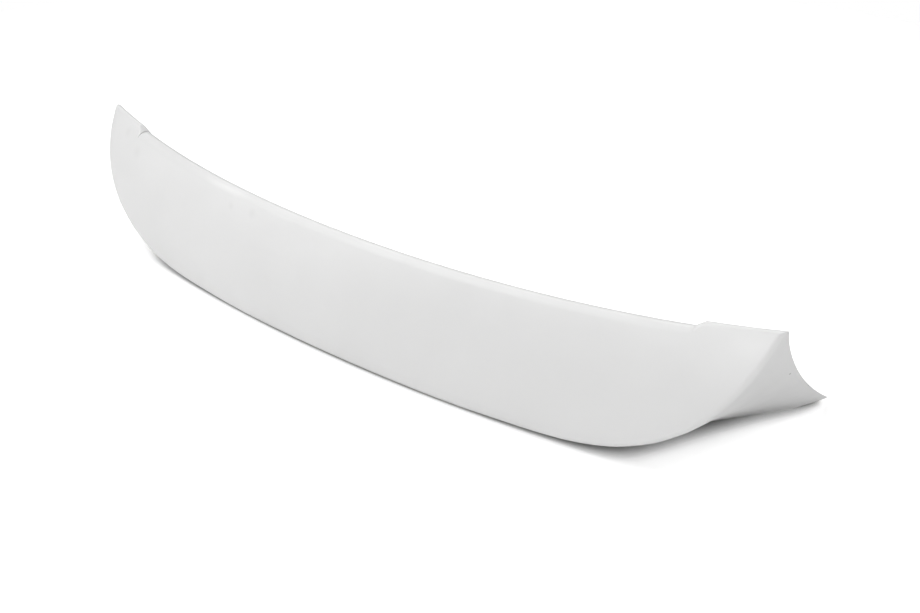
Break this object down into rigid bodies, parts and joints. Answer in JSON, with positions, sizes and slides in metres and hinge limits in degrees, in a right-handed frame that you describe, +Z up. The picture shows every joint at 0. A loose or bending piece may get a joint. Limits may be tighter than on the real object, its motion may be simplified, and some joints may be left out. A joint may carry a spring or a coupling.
{
  "type": "car rear spoiler",
  "caption": "White moulded ducktail spoiler for a car's boot lid: broad bowed rear face, raised trailing edge, concave top, scooped pointed ends and an open underside.",
  "frame": {"origin": "on the base plane, under the middle of the bounding box", "axes": "+X across the car, +Y towards the leading edge, +Z up; the broad rear face looks towards -Y and the base rim stands on Z = 0"},
  "size_m": [1.121, 0.3063, 0.1903],
  "materials": {
    "gelcoat": "white satin gelcoat over glass-fibre laminate, unpainted, with small pinholes and faint waves"
  },
  "bodies": {
    "root": {"spoiler_shell": "gelcoat"}
  },
  "joints": []
}
